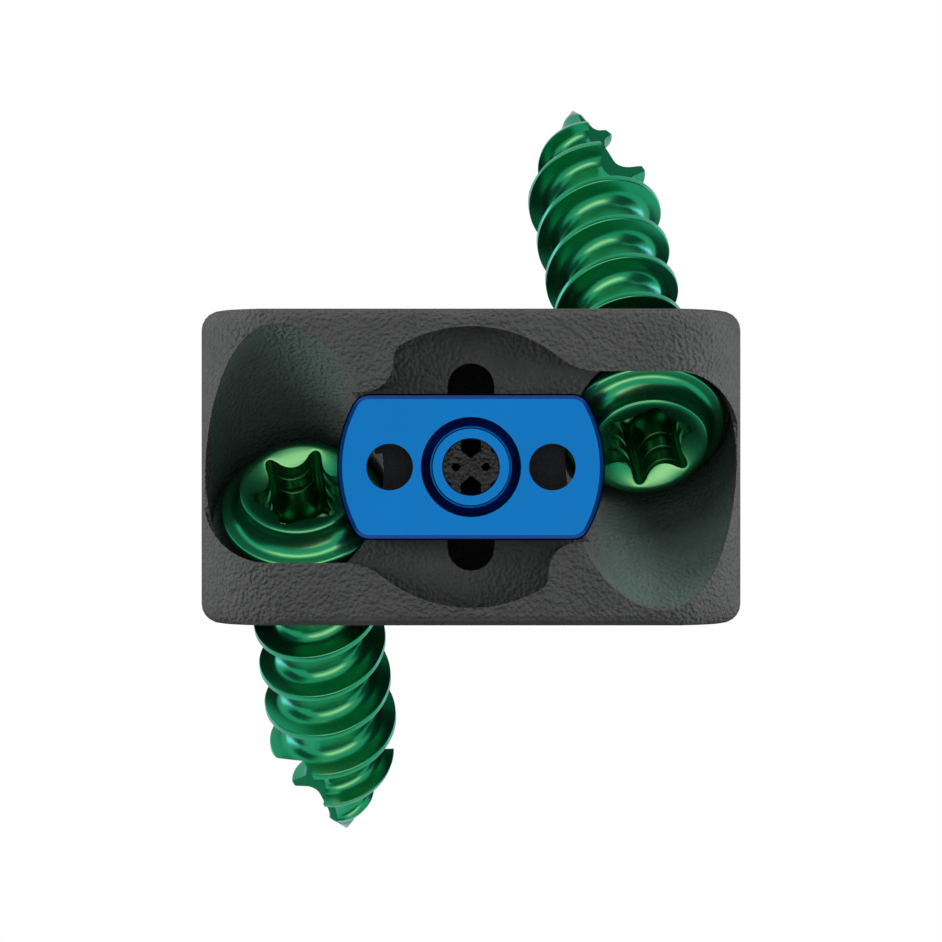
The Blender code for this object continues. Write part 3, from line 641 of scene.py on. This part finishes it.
def body_masks(tree):
    """Masks of the body: inside its recess, pockets and windows, and out to the screws' sides, where
    the painted green reflection of the screws lies.
    """
    place = add_node(tree, "ShaderNodeTexCoord")
    axis = add_node(tree, "ShaderNodeSeparateXYZ")
    tree.links.new(place.outputs["Object"], axis.inputs[0])
    side = math_node(tree, "ABSOLUTE", axis.outputs["X"])
    rise = math_node(tree, "ABSOLUTE", axis.outputs["Z"])
    back = axis.outputs["Y"]
    past = math_node(tree, "MAXIMUM", math_node(tree, "SUBTRACT", side, CORNER_START), 0.0)
    square = math_node(tree, "MULTIPLY", past, past)
    square = math_node(tree, "SUBTRACT", CORNER_RADIUS ** 2, square)
    loss = math_node(tree, "SUBTRACT", CORNER_RADIUS, math_node(tree, "SQRT", square))
    depth = math_node(tree, "SUBTRACT", math_node(tree, "SUBTRACT", back, FRONT_Y), loss)
    inner = step_between(tree, depth, *INNER_DEPTH)
    for value, limits in ((side, INNER_SIDE), (rise, INNER_RISE), (back, INNER_REAR)):
        inner = math_node(tree, "MULTIPLY", inner, step_between(tree, value, *limits))
    return inner, step_between(tree, side, *SCREW_BOUNCE_SIDE)


def printed_titanium():
    """Dark grey printed metal with worms and grains in relief, shallower inside, and with a painted
    green reflection of the screws next to them.
    """
    material, tree, shader = new_material("printed_titanium_grain")
    inner, screw_bounce = body_masks(tree)
    worms = noise(tree, *WORMS, distortion=WORM_DISTORTION)
    grains = noise(tree, *GRAINS)
    height = math_node(tree, "ADD", worms, math_node(tree, "MULTIPLY", grains, GRAIN_SHARE))
    height = math_node(tree, "SUBTRACT", height, PRINT_MEAN_HEIGHT)
    height = math_node(tree, "MULTIPLY", height, span(tree, inner, *PRINT_RELIEF_SHARES))
    tree.links.new(bump(tree, height, PRINT_RELIEF), shader.inputs["Normal"])
    mottle = noise(tree, *BODY_MOTTLE, roughness=BODY_MOTTLE_ROUGHNESS)
    recess_tone = mottled(tree, mottle, RECESS_TONES)
    # Next to the screws the tone takes a painted green reflection of the screws
    inner_tone = mixed(tree, screw_bounce, recess_tone, mottled(tree, mottle, SCREW_BOUNCE_TONES))
    tone = mixed(tree, inner, mottled(tree, mottle, OUTER_TONES), inner_tone)
    tree.links.new(tone, shader.inputs["Base Color"])
    tree.links.new(span(tree, grains, *BODY_ROUGHNESS), shader.inputs["Roughness"])
    shader.inputs["Specular IOR Level"].default_value = 0.0
    return material


def blue_anodised():
    """Satin blue anodised metal with a faint blasted grain, and painted shade on bevels, sides and
    countersinks, whose faces turn away from the front.
    """
    material, tree, shader = new_material("blue_anodised_satin")
    grain = noise(tree, *BLUE_GRAIN)
    flat_tone = mottled(tree, noise(tree, *BLUE_CLOUD), BLUE_TONES)
    facing = add_node(tree, "ShaderNodeSeparateXYZ")
    geometry = add_node(tree, "ShaderNodeNewGeometry")
    tree.links.new(geometry.outputs["True Normal"], facing.inputs[0])
    # Painted shade: faces whose normal turns away from the front are darkened
    turned_shade = math_node(tree, "ABSOLUTE", facing.outputs["Y"])
    turned_shade = step_between(tree, turned_shade, *BLUE_SHADE_FACING)
    tree.links.new(mixed(tree, turned_shade, flat_tone, BLUE_SHADE_TONE), shader.inputs["Base Color"])
    tree.links.new(span(tree, grain, *BLUE_ROUGHNESS), shader.inputs["Roughness"])
    tree.links.new(bump(tree, grain, BLUE_RELIEF), shader.inputs["Normal"])
    shader.inputs["Metallic"].default_value = 1.0
    shader.inputs["Specular Tint"].default_value = BLUE_EDGE_TINT
    return material


def green_anodised():
    """Green anodised metal with a cooler edge tint, bare at the very tip."""
    material, tree, shader = new_material("green_anodised_gloss")
    green = mottled(tree, noise(tree, *GREEN_CLOUD), GREEN_TONES)
    mark = add_node(tree, "ShaderNodeAttribute", attribute_name="from_tip")
    worn = step_between(tree, mark.outputs["Fac"], *BARE_TIP_LENGTH)
    tree.links.new(mixed(tree, worn, green, BARE_TIP_TONE), shader.inputs["Base Color"])
    grain = noise(tree, *GREEN_GRAIN)
    tree.links.new(span(tree, grain, *GREEN_ROUGHNESS), shader.inputs["Roughness"])
    shader.inputs["Metallic"].default_value = GREEN_METALLIC
    shader.inputs["Specular Tint"].default_value = GREEN_EDGE_TINT
    shader.inputs["Specular IOR Level"].default_value = 0.0
    return material


def glow_material(name, colour):
    """Light given off by a studio board, and none after a bounce from a matt surface."""
    material = bpy.data.materials.new(name)
    material.use_nodes = True
    tree = material.node_tree
    tree.nodes.clear()
    output = add_node(tree, "ShaderNodeOutputMaterial")
    glow = add_node(tree, "ShaderNodeEmission")
    glow.inputs["Color"].default_value = (*colour, 1.0)
    bounces = add_node(tree, "ShaderNodeLightPath").outputs["Diffuse Depth"]
    tree.links.new(math_node(tree, "LESS_THAN", bounces, 0.5), glow.inputs["Strength"])
    tree.links.new(glow.outputs[0], output.inputs["Surface"])
    return material


def studio_board(name, azimuth, elevation, distance, size, colour):
    """Board that faces the object and is seen only in reflections.

    The azimuth turns from the front to the right, and the elevation goes up from level.
    """
    turn, rise = math.radians(azimuth), math.radians(elevation)
    level = math.cos(rise)
    centre = Vector((math.sin(turn) * level, -math.cos(turn) * level, math.sin(rise)))
    half_x, half_y = size[0] / 2.0, size[1] / 2.0
    outline = ((-half_x, -half_y), (half_x, -half_y), (half_x, half_y), (-half_x, half_y))
    bm = bmesh.new()
    bm.faces.new([bm.verts.new((x, y, 0.0)) for x, y in outline])
    board = add_object(name, bm)
    board.location = centre * distance
    board.rotation_mode = "QUATERNION"
    board.rotation_quaternion = centre.to_track_quat("Z", "Y")
    board.data.materials.append(glow_material(name, colour))
    board.visible_camera = False
    board.visible_diffuse = False
    board.visible_shadow = False


def seen_rays(tree):
    """1 for rays from the camera and those that metal or glass sends on, and 0 for the rest."""
    path = add_node(tree, "ShaderNodeLightPath")
    seen = path.outputs["Is Camera Ray"]
    for kind in ("Is Glossy Ray", "Is Transmission Ray"):
        seen = math_node(tree, "ADD", seen, path.outputs[kind], clamp=True)
    return seen


def make_floor():
    """Pale round floor well below the object, lit evenly where it is seen and still shadowed."""
    bm = bmesh.new()
    bmesh.ops.create_circle(bm, cap_ends=True, radius=FLOOR_RADIUS, segments=FLOOR_STEPS)
    floor = add_object("studio_floor", bm)
    floor.location = (0.0, 0.0, FLOOR_Z)
    material, tree, shader = new_material("studio_floor_pale")
    shader.inputs["Base Color"].default_value = FLOOR_COLOUR
    shader.inputs["Roughness"].default_value = FLOOR_ROUGHNESS
    shader.inputs["Emission Color"].default_value = WHITE
    glow = math_node(tree, "MULTIPLY", seen_rays(tree), FLOOR_SEEN_GLOW)
    tree.links.new(glow, shader.inputs["Emission Strength"])
    floor.data.materials.append(material)


def make_world():
    """White where it is seen or mirrored, soft grey as light on matt surfaces."""
    world = bpy.data.worlds.new("studio_world")
    bpy.context.scene.world = world
    world.use_nodes = True
    tree = world.node_tree
    background = tree.nodes["Background"]
    background.inputs["Color"].default_value = WHITE
    strength = span(tree, seen_rays(tree), *WORLD_STRENGTH)
    tree.links.new(strength, background.inputs["Strength"])


def soft_lamp(name, place, size, power):
    """Square area lamp aimed at the object and not mirrored by metal."""
    lamp = bpy.data.lights.new(name, "AREA")
    lamp.shape = "SQUARE"
    lamp.size = size
    lamp.energy = power
    item = bpy.data.objects.new(name, lamp)
    bpy.context.scene.collection.objects.link(item)
    item.location = place
    item.rotation_mode = "QUATERNION"
    item.rotation_quaternion = (-Vector(place)).to_track_quat("-Z", "Y")
    item.visible_glossy = False


def make_studio():
    """World, floor, boards and lamps."""
    make_world()
    make_floor()
    for board in BOARDS:
        studio_board(*board)
    for lamp in LAMPS:
        soft_lamp(*lamp)


def make_camera():
    """Level camera in front of the object, far enough for an almost parallel view."""
    camera = bpy.data.cameras.new("camera")
    camera.lens = LENS
    camera.sensor_width = SENSOR
    camera.clip_start = CLIP_START
    camera.clip_end = CLIP_END
    item = bpy.data.objects.new("camera", camera)
    bpy.context.scene.collection.objects.link(item)
    item.location = (0.0, FRONT_Y - VIEW_WIDTH * LENS / SENSOR, VIEW_Z)
    item.rotation_euler = (math.pi / 2.0, 0.0, 0.0)
    bpy.context.scene.camera = item


def dress_solids(nodes):
    """Give the carried-over solids their materials."""
    body = printed_titanium()
    blue = blue_anodised()
    for name, material in (("cage_body", body), ("lock_plate", blue), ("pivot_sleeve", blue)):
        for slot in nodes[name].material_slots:
            slot.material = material


def main():
    """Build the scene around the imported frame."""
    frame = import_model()
    bpy.context.scene.view_settings.view_transform = "Standard"
    dress_solids(frame["nodes"])
    green = green_anodised()
    make_bone_screw("lower", green)
    make_bone_screw("upper", green)
    make_studio()
    make_camera()


main()
